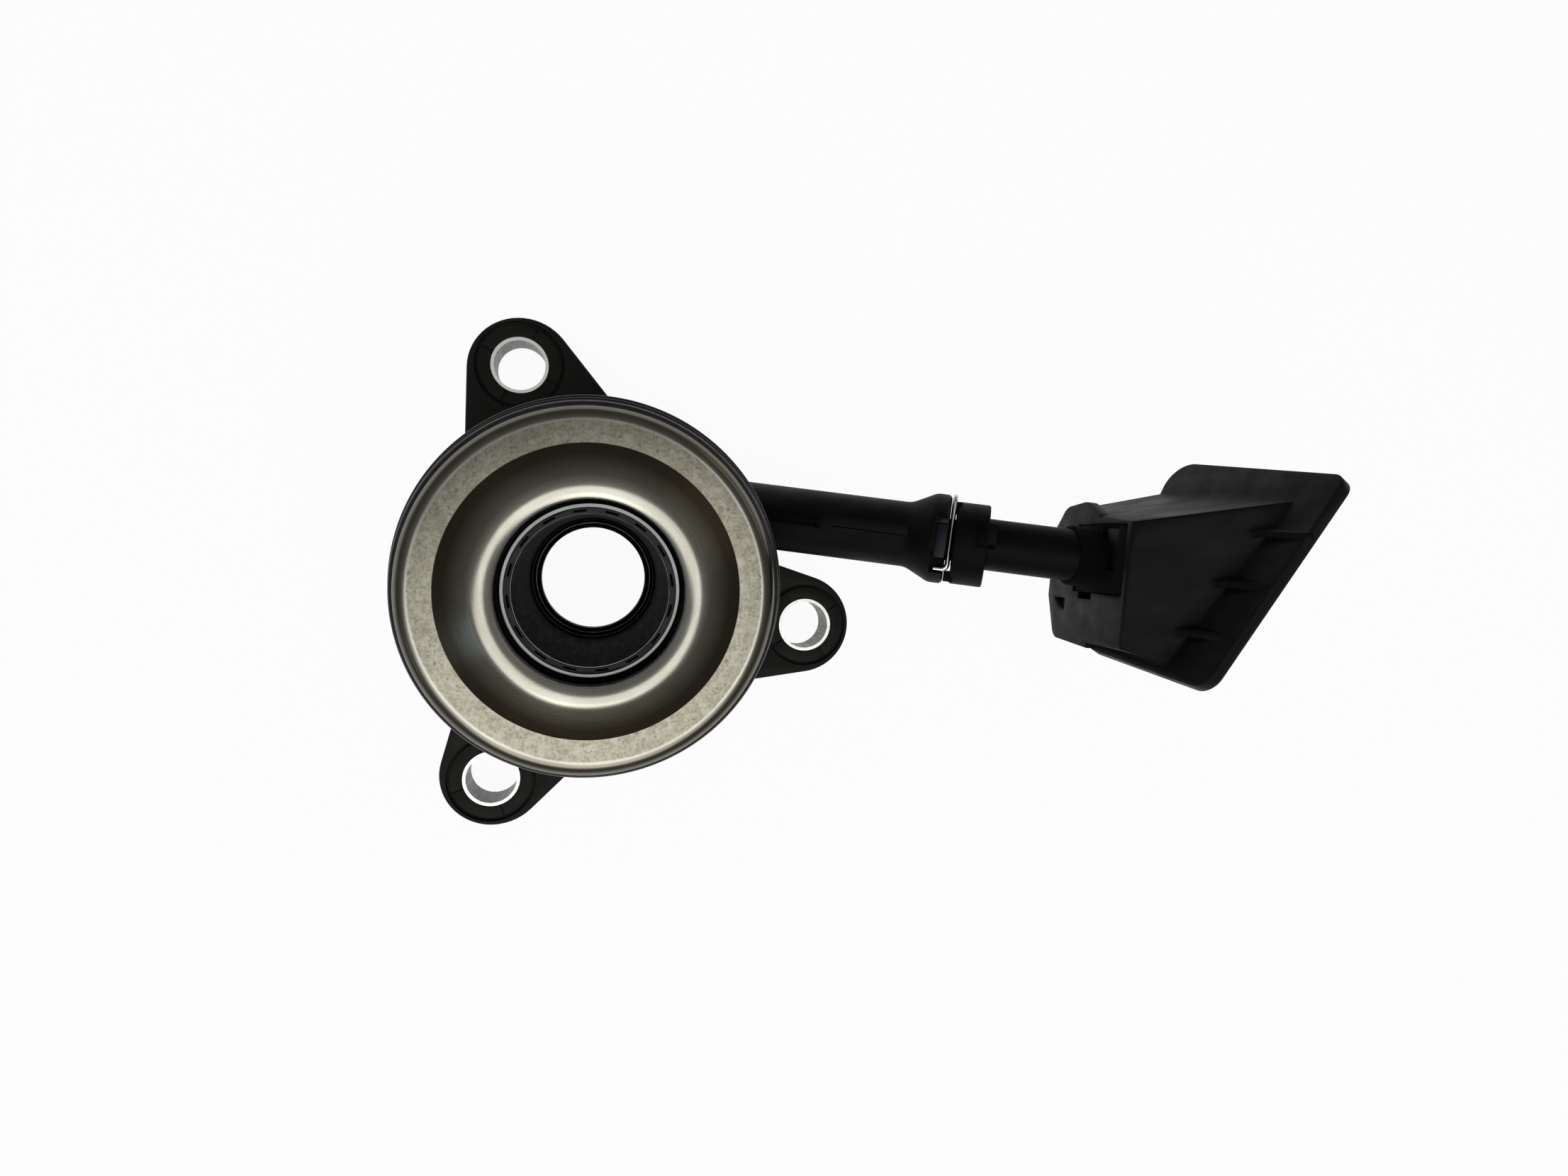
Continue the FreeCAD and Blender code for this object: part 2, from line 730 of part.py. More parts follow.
def wire_through(points, bend, wire_radius):
    """Round wire along straight runs joined by tangent arcs."""
    edges = []
    last = points[0]
    for before, here, after in zip(points, points[1:], points[2:]):
        back = (before - here).normalize()
        forth = (after - here).normalize()
        half = back.getAngle(forth) / 2
        reach = bend / tan(half)
        centre = here + (back + forth).normalize() * (bend / sin(half))
        start, end = here + back * reach, here + forth * reach
        middle = centre + (here - centre).normalize() * bend
        edges.append(Part.LineSegment(last, start).toShape())
        edges.append(Part.Arc(start, middle, end).toShape())
        last = end
    edges.append(Part.LineSegment(last, points[-1]).toShape())
    circle = Part.Wire(Part.makeCircle(wire_radius, points[0], points[1] - points[0]))
    return Part.Wire(edges).makePipeShell([circle], True, True)


def make_wire_clip():
    leg, reach, tail = clip_leg_offset, clip_bend_reach, -clip_tail_reach
    back = clip_station - clip_tail_length
    points = [on_pipe(back, leg, tail), on_pipe(clip_station, leg, tail),
              on_pipe(clip_station, leg, reach), on_pipe(clip_station, -leg, reach),
              on_pipe(clip_station, -leg, tail), on_pipe(back, -leg, tail)]
    return wire_through(points, clip_wire_radius * 2.4, clip_wire_radius)


# Closure box and flange plate

flange_flat = direction(flange_heading)
flange_normal = flange_flat * cos(radians(flange_lean)) + AXIS * sin(radians(flange_lean))
flange_along = flange_flat.cross(AXIS).normalize()
flange_up = flange_along.cross(flange_normal).normalize()
if flange_up.z < 0:
    flange_up = flange_up * -1
flange_centre = on_pipe(flange_station)


def on_flange(along, up, out=0.0):
    return flange_centre + flange_along * along + flange_up * up + flange_normal * out


def on_end(side, height, out=0.0):
    """Point on the box's end wall: side towards +Y, height above the mounting face."""
    across = AXIS.cross(direction(box_end_heading))
    return Vector(box_end_x, 0, height) + across * side + direction(box_end_heading) * out


def box_corners(inset, end_out, flange_out):
    """Corners of the box on its end wall and on the flange, drawn in by inset."""
    ends, flanges = [], []
    for (side, height), (along, up) in zip(box_end_corners, box_flange_corners):
        inward = -inset if side > 0 else inset
        upward = inset if height < box_end_corners[0][1] - 5 else -inset
        ends.append(on_end(side + inward, height + upward, end_out))
        flanges.append(on_flange(along - inward, up + upward, flange_out))
    return ends, flanges


def box_solid(inset, end_out, flange_out):
    """Flared box from the end wall to the flange plate."""
    ends, flanges = box_corners(inset, end_out, flange_out)
    faces = [Part.Face(Part.makePolygon(corners + corners[:1])) for corners in (ends, flanges)]
    for i in range(len(ends)):
        j = (i + 1) % len(ends)
        end_edge = Part.LineSegment(ends[i], ends[j]).toShape()
        flange_edge = Part.LineSegment(flanges[i], flanges[j]).toShape()
        faces.append(Part.makeRuledSurface(end_edge, flange_edge))
    shell = Part.makeShell(faces)
    shell.sewShape()
    solid = Part.makeSolid(shell)
    if solid.Volume < 0:
        solid.reverse()
    return solid


def end_prism(near, far, foot, top, start, depth):
    """Block on the end wall's axes, from start to start plus depth inwards."""
    corners = [on_end(near, foot, start), on_end(far, foot, start),
               on_end(far, top, start), on_end(near, top, start)]
    return Part.Face(Part.makePolygon(corners + corners[:1])).extrude(direction(box_end_heading) * depth)


def flange_plate():
    outline = rounded_wire(flange_corners, lambda p: on_flange(p.x, p.y))
    return Part.Face(outline).extrude(flange_normal * flange_thickness)


def foot_plate():
    outline = rounded_wire(foot_plate_corners, lambda p: on_end(p.x, p.y))
    return Part.Face(outline).extrude(direction(box_end_heading) * foot_plate_thickness)


def flange_ribs():
    """Thin triangular ribs between the box's top and the flange plate."""
    ribs = []
    near_top, far_top = box_flange_corners[0], box_flange_corners[1]
    toward_end = on_end(0, 0) - on_flange(0, 0)
    toward_end.z = 0
    toward_end.normalize()
    across = AXIS.cross(toward_end)
    for along in rib_positions:
        share = (along - near_top[0]) / (far_top[0] - near_top[0])
        top = near_top[1] + (far_top[1] - near_top[1]) * share
        foot = on_flange(along, top - rib_root)
        tip = foot + toward_end * rib_run - AXIS * rib_root
        corners = [foot, on_flange(along, top + rib_reach), tip]
        face = Part.Face(Part.makePolygon(corners + corners[:1]))
        face.translate(across * (-rib_thickness / 2))
        ribs.append(face.extrude(across * rib_thickness))
    return ribs


def make_closure():
    outer = box_solid(0, 0, flange_thickness / 2)
    pocket = box_solid(box_wall, box_wall, flange_thickness + 1)
    entry_block = end_prism(entry_near + entry_wall, entry_far - entry_wall, entry_foot - entry_wall,
                            entry_top + entry_wall, 0, entry_depth + entry_wall)
    entry = end_prism(entry_near, entry_far, entry_foot, entry_top, -1, entry_depth + 1)
    notch = end_prism(0, entry_far - entry_notch_depth, entry_notch[0], entry_notch[1], -1, entry_depth)
    outline = [on_end(side, height, -1) for side, height in end_mark]
    mark = Part.Face(Part.makePolygon(outline + outline[:1]))
    mark = mark.extrude(direction(box_end_heading) * (end_mark_depth + 1))
    finger = end_prism(finger_near, finger_far, finger_foot, finger_top,
                       finger_depth, entry_depth - finger_depth)
    hole = Part.makeCylinder(link_radius, port_end - collar_end, on_pipe(collar_end), pipe_axis)
    walls = outer.cut(pocket).fuse([foot_plate(), entry_block.common(outer)])
    walls = walls.cut([entry, notch, mark]).fuse([finger, flange_plate().cut(pocket)])
    ribs = [rib.cut(pocket) for rib in flange_ribs()]
    return walls.fuse(ribs).cut(hole).removeSplitter()


def make_grommet():
    """Block that fills the opening round the closure's finger, and a neck on the tube."""
    gap = grommet_gap
    block = end_prism(entry_near - gap, entry_far + gap, entry_foot + gap, entry_top - gap,
                      grommet_setback, entry_depth - grommet_setback - gap)
    around_finger = (finger_near + gap, finger_far - gap, finger_foot - gap, finger_top + gap)
    finger_full = end_prism(*around_finger, -grommet_reach, grommet_reach + entry_depth)
    finger_deep = end_prism(*around_finger, finger_depth - gap, entry_depth)
    neck = Part.makeCylinder(grommet_radius, port_start - collar_end, on_pipe(collar_end), pipe_axis)
    wide = entry_near * 3
    reach = grommet_reach + entry_depth / 2
    neck = neck.common(end_prism(wide, -wide, 0, wide * 3, -grommet_reach, reach))
    hole = Part.makeCylinder(link_radius + gap, port_end - collar_end, on_pipe(collar_end), pipe_axis)
    return block.cut(finger_full).fuse(neck).cut([hole, finger_deep])


def make_port():
    """Female port on the connector tube's end, with a groove for the line's clip."""
    groove = port_radius - port_groove_depth
    low = port_groove_station - port_clip_wire_radius * 1.1
    high = port_groove_station + port_clip_wire_radius * 1.1
    return pipe_turned([
        (link_radius, port_start), (port_radius, port_start, 0.6), (port_radius, low), (groove, low),
        (groove, high), (port_radius, high), (port_radius, port_end, 0.5), (port_bore_radius, port_end),
        (port_bore_radius, port_bore_start), (link_bore_radius, port_bore_start),
        (link_bore_radius, link_end), (link_radius, link_end)])


def make_port_clip():
    """Open ring of wire in the port's groove."""
    radius = port_radius - port_groove_depth + port_clip_wire_radius
    circle = Part.Face(Part.Wire(Part.makeCircle(
        port_clip_wire_radius, Vector(radius, 0, 0), Vector(0, 1, 0))))
    ring = circle.revolve(ORIGIN, AXIS, 300)
    return placed(ring, pipe_frame(port_groove_station))


def main():
    os.makedirs("parts", exist_ok=True)
    nodes = {
        "housing": make_housing(),
        "guide_tube": make_guide_tube(),
        "shaft_seal": make_shaft_seal(),
        "seal_garter": make_garter(),
        "face_oring": make_face_oring(),
        "stop_ring": make_stop_ring(),
        "piston": make_piston(),
        "piston_seal": make_piston_seal(),
        "piston_wiper": make_wiper(),
        "bearing_carrier": make_carrier(),
        "preload_spring": make_spring(),
        "centring_washer": make_centring_washer(),
        "outer_race": make_outer_race(),
        "retaining_cap": make_retaining_cap(),
        "face_ring": make_face_ring(),
        "balls": make_balls(),
        "ball_cage": make_cage(),
        "front_shield": make_front_shield(),
        "rear_shield": make_rear_shield(),
        "link_tube": make_link_tube(),
        "link_seal": make_link_seal(),
        "lock_collar": make_collar(),
        "wire_clip": make_wire_clip(),
        "closure": make_closure(),
        "tube_grommet": make_grommet(),
        "line_port": make_port(),
        "port_clip": make_port_clip(),
    }
    for name, angle in ear_angles.items():
        nodes["sleeve_" + name] = make_sleeve(angle)
    for name, shape in nodes.items():
        solids = shape.Solids
        shape = solids[0] if len(solids) == 1 else shape
        print(name, len(solids), "valid", shape.isValid(), "volume %.1f" % shape.Volume)
        shape.exportStep("parts/" + name + ".step")


main()
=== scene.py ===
import bmesh
import bpy
import json
from math import cos, pi, radians, sin, tan
from mathutils import Matrix, Vector


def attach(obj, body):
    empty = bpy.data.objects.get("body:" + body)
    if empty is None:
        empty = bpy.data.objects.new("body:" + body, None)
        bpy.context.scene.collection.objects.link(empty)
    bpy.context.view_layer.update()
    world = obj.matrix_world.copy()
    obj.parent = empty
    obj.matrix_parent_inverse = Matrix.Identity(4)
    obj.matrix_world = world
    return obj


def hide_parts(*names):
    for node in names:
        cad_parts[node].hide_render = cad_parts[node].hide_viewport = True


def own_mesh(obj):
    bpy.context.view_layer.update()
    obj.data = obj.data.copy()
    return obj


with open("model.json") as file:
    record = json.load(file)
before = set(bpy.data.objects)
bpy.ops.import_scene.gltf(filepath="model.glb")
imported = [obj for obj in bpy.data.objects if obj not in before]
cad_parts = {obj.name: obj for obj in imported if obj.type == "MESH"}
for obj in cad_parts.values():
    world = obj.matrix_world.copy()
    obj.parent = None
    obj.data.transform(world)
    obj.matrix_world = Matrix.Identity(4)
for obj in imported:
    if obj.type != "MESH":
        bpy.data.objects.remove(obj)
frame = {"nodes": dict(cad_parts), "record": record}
nodes = frame["nodes"]
scene = bpy.context.scene
scene.view_settings.view_transform = "Standard"
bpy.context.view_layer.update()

# Sizes that the pieces here share with the solids, in millimetres
MM = 0.001
BALLS = dict(radius=3.175, count=18, pitch=24.3, height=47.0)
BORE_RADIUS = 14.5
FLAT_START = 23.1
FLAT_HEIGHT = 58.5
RIM_RADIUS = 29.0
SPRING_TOP = 36.0
PIPE_FOOT = Vector((2.26896, 16.8479, 3.63))
PIPE_AXIS = Vector((0.939839, -0.126573, 0.317305))
PIPE_SIDE = Vector((0.133468, 0.991053, 0.0))
PIPE_UP = PIPE_AXIS.cross(PIPE_SIDE)
PIPE_TURN = Matrix((PIPE_SIDE, PIPE_UP, PIPE_AXIS)).transposed().to_4x4()
PIPE_FRAME = Matrix.Translation(PIPE_FOOT) @ PIPE_TURN

# How finely the meshes are made: angles in degrees, distances in metres
SHARP_ANGLE = 32
FLAT_ANGLE = 1.0
TURNED_MERGE = 1e-7
SOLID_MERGE = 2e-7
CORNER_STEPS = 6
EDGE_STEPS = 2


# Camera: almost straight down on the bearing, leaning towards the pipe

CAMERA_PLACE = Vector((0.00200, 0.00924, 0.22739))
CAMERA_RIGHT = Vector((0.9713, 0.0, 0.2377))
CAMERA_UP = Vector((0.01117, 0.9989, -0.04565))
CAMERA_BACK = Vector((-0.2374, 0.047, 0.9702))
CAMERA_LENS = 24.29
CAMERA_SENSOR = 36
CAMERA_SHIFT = (-0.0500, -0.0035)
CAMERA_NEAR = 0.01


def place_camera():
    """The camera of the scene, at the place and angle of the photograph."""
    data = bpy.data.cameras.new("camera")
    data.sensor_width = CAMERA_SENSOR
    data.lens = CAMERA_LENS
    data.shift_x, data.shift_y = CAMERA_SHIFT
    data.clip_start = CAMERA_NEAR
    camera = bpy.data.objects.new("camera", data)
    turn = Matrix((CAMERA_RIGHT, CAMERA_UP, CAMERA_BACK)).transposed()
    camera.matrix_world = Matrix.Translation(CAMERA_PLACE) @ turn.to_4x4()
    scene.collection.objects.link(camera)
    scene.camera = camera


# Light: dim surroundings, a broad slanted lamp overhead on the near side, a smaller one
# in front of it, a low wall of light on the far side and a small bluish window at the left

ROOM_LIGHT = 0.2
FLOOR_REACH = 3.0
FLOOR_DROP = 0.4
FLOOR_GLOW = 0.95
LAMPS = {
    "overhead": dict(size=(1.15, 1.1), radiance=1.5, place=(-0.06, -0.53, 1.06), turn=22),
    "front": dict(size=(0.9, 0.4), radiance=1.3, place=(-0.10, -0.85, 0.95), target=(0.0, 0, 0.05)),
    "wall": dict(size=(0.9, 0.3), radiance=1.0, place=(1.1, 0.7, 0.45), target=(0.10, 0, 0.03)),
    "window": dict(size=(0.30, 0.24), radiance=0.8, place=(-1.0, -0.42, 0.60), target=(0.0, 0, 0.05),
                   colour=(0.55, 0.75, 1.0)),
}


def lamp(name, size, radiance, place, turn=0.0, target=None, colour=(1, 1, 1)):
    """Rectangular lamp that faces down, turned by some degrees, or faces a target."""
    data = bpy.data.lights.new(name, "AREA")
    data.color = colour
    data.shape = "RECTANGLE"
    data.size, data.size_y = size
    data.energy = radiance * pi * size[0] * size[1]
    lamp_object = bpy.data.objects.new(name, data)
    aim = Matrix.Rotation(radians(turn), 4, "Z")
    if target:
        aim = (Vector(target) - Vector(place)).to_track_quat("-Z", "Y").to_matrix().to_4x4()
    lamp_object.matrix_world = Matrix.Translation(place) @ aim
    scene.collection.objects.link(lamp_object)


def light_studio():
    """Dim even surroundings and the lamps."""
    world = bpy.data.worlds.new("studio")
    scene.world = world
    world.use_nodes = True
    background = world.node_tree.nodes["Background"]
    background.inputs["Color"].default_value = (1, 1, 1, 1)
    background.inputs["Strength"].default_value = ROOM_LIGHT
    for name, settings in LAMPS.items():
        lamp(name, **settings)


def lay_floor():
    """Pale floor just under the object, close to white where it is seen or mirrored."""
    reach = FLOOR_REACH
    corners = [(-reach, -reach, 0), (reach, -reach, 0), (reach, reach, 0), (-reach, reach, 0)]
    mesh = bpy.data.meshes.new("floor")
    mesh.from_pydata(corners, [], [(0, 1, 2, 3)])
    floor = bpy.data.objects.new("floor", mesh)
    floor.location.z = -FLOOR_DROP * MM
    scene.collection.objects.link(floor)
    finish = Finish("pale_floor")
    finish.set(Base_Color=(0.95, 0.95, 0.95), Roughness=0.9, Specular_IOR_Level=0.1)
    path = finish.node("LightPath")
    seen = finish.math("MAXIMUM", path.outputs["Is Camera Ray"], path.outputs["Is Glossy Ray"])
    seen = finish.math("MAXIMUM", seen, path.outputs["Is Transmission Ray"])
    glow = finish.node("Emission", {"Color": (1.0, 1.0, 1.0), "Strength": 1.0})
    blend = finish.node("MixShader", {"Fac": finish.times(seen, FLOOR_GLOW)})
    link = finish.tree.links.new
    link(finish.shader.outputs[0], blend.inputs[1])
    link(glow.outputs[0], blend.inputs[2])
    link(blend.outputs[0], finish.tree.nodes["Material Output"].inputs["Surface"])
    mesh.materials.append(finish.material)


# Materials

class Finish:
    """A node material built up step by step around one Principled shader."""

    def __init__(self, name):
        self.material = bpy.data.materials.new(name)
        self.material.use_nodes = True
        self.tree = self.material.node_tree
        self.shader = self.tree.nodes["Principled BSDF"]
        self.place = self.tree.nodes.new("ShaderNodeTexCoord").outputs["Object"]

    def node(self, kind, inputs=None, **settings):
        """A new node with its inputs, by name, and its settings."""
        made = self.tree.nodes.new("ShaderNode" + kind)
        for key, value in settings.items():
            setattr(made, key, value)
        for key, value in (inputs or {}).items():
            self.feed(value, made.inputs[key])
        return made

    def feed(self, value, socket):
        """Link another node's output, or set a number or a colour."""
        if isinstance(value, bpy.types.NodeSocket):
            self.tree.links.new(value, socket)
        elif isinstance(value, tuple) and len(value) == 3 and socket.type == "RGBA":
            socket.default_value = value + (1,)
        else:
            socket.default_value = value

    def set(self, **values):
        """Inputs of the shader, by name."""
        for key, value in values.items():
            self.feed(value, self.shader.inputs[key.replace("_", " ")])

    def math(self, operation, *values):
        """One step of arithmetic on numbers or other nodes' outputs."""
        made = self.node("Math", operation=operation)
        for i, value in enumerate(values):
            self.feed(value, made.inputs[i])
        return made.outputs[0]

    def times(self, first, second):
        """Product of two values."""
        return self.math("MULTIPLY", first, second)

    def along(self, axis):
        """The place on the piece along X, Y or Z, in millimetres."""
        return self.times(self.node("SeparateXYZ", {"Vector": self.place}).outputs[axis], 1 / MM)

    def noise(self, size, detail, stretch=None):
        """Grey noise whose lumps are about size millimetres, drawn out where stretch is below 1."""
        place = self.place
        if stretch:
            place = self.node("Mapping", {"Vector": place, "Scale": stretch}).outputs[0]
        made = self.node("TexNoise", {"Vector": place, "Scale": 1 / (size * MM), "Detail": detail})
        return made.outputs["Fac"]

    def span(self, value, low, high, to_low=0.0, to_high=1.0):
        """A value between low and high moved to between two other numbers."""
        made = self.node("MapRange", {"Value": value, "From Min": low, "From Max": high,
                                      "To Min": to_low, "To Max": to_high})
        return made.outputs[0]

    def ramp(self, value, low, high, stops):
        """Colours at rising values, all of them between low and high."""
        made = self.node("ValToRGB", {"Fac": self.span(value, low, high)})
        entries = made.color_ramp.elements
        while len(entries) < len(stops):
            entries.new(0.5)
        for entry, (at, colour) in zip(entries, stops):
            entry.position = (at - low) / (high - low)
            entry.color = colour + (1,)
        return made.outputs["Color"]

    def mix(self, share, first, second, way="MIX"):
        """The first colour changed by share towards the second, or towards their product."""
        made = self.node("Mix", data_type="RGBA", blend_type=way)
        colours = [socket for socket in made.inputs if socket.type == "RGBA"]
        self.feed(share, made.inputs["Factor"])
        self.feed(first, colours[0])
        self.feed(second, colours[1])
        return next(socket for socket in made.outputs if socket.type == "RGBA")

    def bump(self, height, depth, soft=0.0):
        """Relief depth millimetres deep where height runs from 0 to 1, on softened edges."""
        made = self.node("Bump", {"Height": height, "Distance": depth * MM})
        if soft:
            edges = self.node("Bevel", {"Radius": soft * MM}, samples=6)
            self.feed(edges.outputs[0], made.inputs["Normal"])
        self.feed(made.outputs[0], self.shader.inputs["Normal"])


def shade(colour, share):
    """A colour made darker or lighter, up to white."""
    return tuple(min(1, part * share) for part in colour)


def moulded_plastic(name, dark, light, roughness, grain=0.25, depth=0.012, sheen=0.22, soft=0.0, film=None):
    """Moulded plastic or rubber: cloudy tone, fine grain, uneven gloss, edges soft by some millimetres.

    A band of painted light, given as (full below, none above, colour) by height, greys the low parts.
    """
    finish = Finish(name)
    cloud = finish.noise(9, 3)
    grains = finish.noise(grain, 2)
    flow = finish.noise(3.5, 2, stretch=(0.35, 1, 1))
    tone = finish.mix(finish.span(cloud, 0.35, 0.65), dark, light)
    tone = finish.mix(finish.span(grains, 0.3, 0.7, 0.0, 0.35), tone, light)
    # Painted light: the low parts are made a lighter grey
    if film:
        low, high, painted_light_tone = film
        lowness = finish.span(finish.along("Z"), low, high, 1.0, 0.0)
        cover = finish.times(lowness, finish.span(cloud, 0.3, 0.7, 0.6, 1.0))
        tone = finish.mix(cover, tone, painted_light_tone)
    gloss = finish.span(flow, 0.3, 0.7, roughness - 0.06, roughness + 0.08)
    finish.set(Base_Color=tone, Roughness=gloss, Specular_IOR_Level=sheen)
    finish.bump(grains, depth, soft)
    return finish.material


def worked_steel(name, colour, roughness, grain=0.5, stretch=None, metal=1.0, specks=0.0, depth=0.004):
    """Plain metal with a drawn or ground grain, small tone changes and, by share, dark specks."""
    finish = Finish(name)
    cloud = finish.noise(6, 3)
    lines = finish.noise(grain, 3, stretch)
    tone = finish.mix(finish.span(cloud, 0.3, 0.7), shade(colour, 0.72), colour)
    tone = finish.mix(finish.span(lines, 0.35, 0.65, 0.0, 0.3), tone, shade(colour, 1.25))
    if specks:
        spots = finish.span(finish.noise(0.8, 2), 0.68, 0.74, 0.0, specks)
        tone = finish.mix(spots, tone, shade(colour, 0.25))
    gloss = finish.span(lines, 0.3, 0.7, roughness - 0.05, roughness + 0.07)
    finish.set(Base_Color=tone, Metallic=metal, Roughness=gloss)
    finish.bump(lines, depth)
    return finish.material


def face_steel():
    """Pressed steel of the face ring: crest paler and partly painted highlight, cone darkened as painted
    reflection, warm ground flat.
    """
    finish = Finish("face_steel")
    x, y, height = finish.along("X"), finish.along("Y"), finish.along("Z")
    radius = finish.math("SQRT", finish.math("ADD", finish.times(x, x), finish.times(y, y)))
    turns = finish.math("DIVIDE", finish.math("ARCTAN2", y, x), 2 * pi)

    # Where one zone goes over into the next, in millimetres of radius or height
    flat_foot, flat_edge = (23.06, 23.12), (26.6, 26.7)
    wall_side, wall_top = (28.5, 28.7), (57.4, 57.8)
    bore_side, bore_top = (14.75, 14.85), (60.0, 60.5)

    # Tones from the crest outwards: the crest paler, partly as painted highlight, the cone darkened as
    # painted reflection, the flat, a painted highlight line at its edge, and the rolled rim darkened as
    # painted reflection
    pale, warm, painted_highlight_line = (0.50, 0.49, 0.42), (0.360, 0.347, 0.272), (0.55, 0.54, 0.48)
    tone = finish.ramp(radius, 14.0, 30.0, [
        (14.0, pale), (16.9, pale), (18.2, (0.25, 0.235, 0.18)), (19.8, (0.16, 0.145, 0.108)),
        (21.4, (0.080, 0.067, 0.044)), (23.06, (0.07, 0.058, 0.038)),
        (23.12, warm), (26.45, warm), (26.62, painted_highlight_line), (26.85, painted_highlight_line),
        (27.1, (0.25, 0.235, 0.185)), (27.7, (0.15, 0.138, 0.108)),
        (28.3, (0.10, 0.092, 0.072)), (28.75, (0.20, 0.19, 0.155))])
    flat = finish.times(finish.span(radius, *flat_foot), finish.span(radius, *flat_edge, 1.0, 0.0))

    # Clouds and sandy grain all over, with pale patches and dark dents on the flat
    clouds = finish.span(finish.noise(9, 2), 0.35, 0.65, 0.0, 0.30)
    tone = finish.mix(clouds, tone, (0.55, 0.52, 0.50), "MULTIPLY")
    sand = finish.noise(0.42, 3)
    grains = finish.times(finish.span(sand, 0.40, 0.64, 0.0, 0.62), finish.span(flat, 0, 1, 0.15, 1.0))
    tone = finish.mix(grains, tone, (0.52, 0.50, 0.45), "MULTIPLY")
    patches = finish.times(finish.span(finish.noise(1.4, 2), 0.48, 0.68, 0.0, 0.5), flat)
    tone = finish.mix(patches, tone, (0.42, 0.415, 0.36))
    dents = finish.times(finish.span(finish.noise(0.9, 1), 0.66, 0.70, 0.0, 0.6), flat)
    tone = finish.mix(dents, tone, (0.14, 0.13, 0.10))

    # Painted reflection darkens the outer wall, and painted shade darkens the bore but for a pale band of
    # painted reflection at the lip near its lower end
    wall = finish.times(finish.span(height, *wall_top, 1.0, 0.0), finish.span(radius, *wall_side))
    tone = finish.mix(wall, tone, (0.014, 0.013, 0.012))
    bore = finish.times(finish.span(height, *bore_top, 1.0, 0.0), finish.span(radius, *bore_side, 1.0, 0.0))
    lip = (0.32, 0.33, 0.30)
    bore_tone = finish.ramp(height, 56.5, 60.5, [
        (56.5, (0.035, 0.038, 0.030)), (57.54, (0.05, 0.055, 0.045)), (57.7, lip), (57.94, lip),
        (58.1, (0.02, 0.02, 0.018)), (60.5, (0.006, 0.006, 0.006))])
    tone = finish.mix(bore, tone, bore_tone)

    # Fine turned lines round the axis give the gloss its rings
    rings = finish.node("CombineXYZ", {"X": radius, "Y": finish.times(turns, 5.0)}).outputs[0]
    turned = finish.node("TexNoise", {"Vector": rings, "Scale": 5.0, "Detail": 3.0}).outputs["Fac"]
    gloss = finish.math("ADD", finish.span(turned, 0.3, 0.7, 0.22, 0.30), finish.times(flat, 0.05))
    finish.set(Base_Color=tone, Metallic=1.0, Roughness=gloss)
    finish.bump(finish.times(finish.math("ADD", finish.times(turned, 0.4), sand), flat), 0.003)
    return finish.material


def sleeve_steel():
    """Plated tube: bright sheared end, and a drawn bore with fine lines along it, made near black as painted
    shade inside the hole.
    """
    finish = Finish("sleeve_steel")
    end = finish.span(finish.along("Z"), 9.25, 9.4)
    lines = finish.noise(0.5, 3, stretch=(1, 1, 0.08))
    # Painted shade: the bore is made near black inside the hole
    bore = finish.mix(finish.span(lines, 0.3, 0.7), (0.020, 0.0205, 0.0165), (0.042, 0.042, 0.036))
    tone = finish.mix(end, bore, (0.92, 0.92, 0.88))
    finish.set(Base_Color=tone, Metallic=0.9, Roughness=finish.span(lines, 0.3, 0.7, 0.32, 0.45))
    finish.bump(lines, 0.006)
    return finish.material


def tube_steel():
    """Dark coated tube, scuffed towards its upper end where it is rubbed, and greyer there with painted
    shade darkening it deeper down.
    """
    finish = Finish("tube_steel")
    wear_and_painted_light = finish.span(finish.along("Z"), 30, 53)
    streaks = finish.noise(0.7, 3, stretch=(1, 1, 0.12))
    clouds = finish.span(finish.noise(6, 2), 0.4, 0.7, 0.0, 0.5)
    scuffs = finish.times(finish.span(streaks, 0.62, 0.70, 0.0, 0.5), wear_and_painted_light)
    # Painted shade: the tube is darker deeper down and greyer towards its top, where the scuffs are wear
    tone = finish.mix(wear_and_painted_light, (0.012, 0.010, 0.007), (0.050, 0.046, 0.032))
    tone = finish.mix(clouds, tone, (0.024, 0.021, 0.015))
    tone = finish.mix(scuffs, tone, (0.08, 0.078, 0.07))
    gloss = finish.span(streaks, 0.3, 0.7, 0.62, 0.76)
    finish.set(Base_Color=tone, Metallic=0.0, Roughness=gloss, Specular_IOR_Level=0.005)
    finish.bump(streaks, 0.004)
    return finish.material


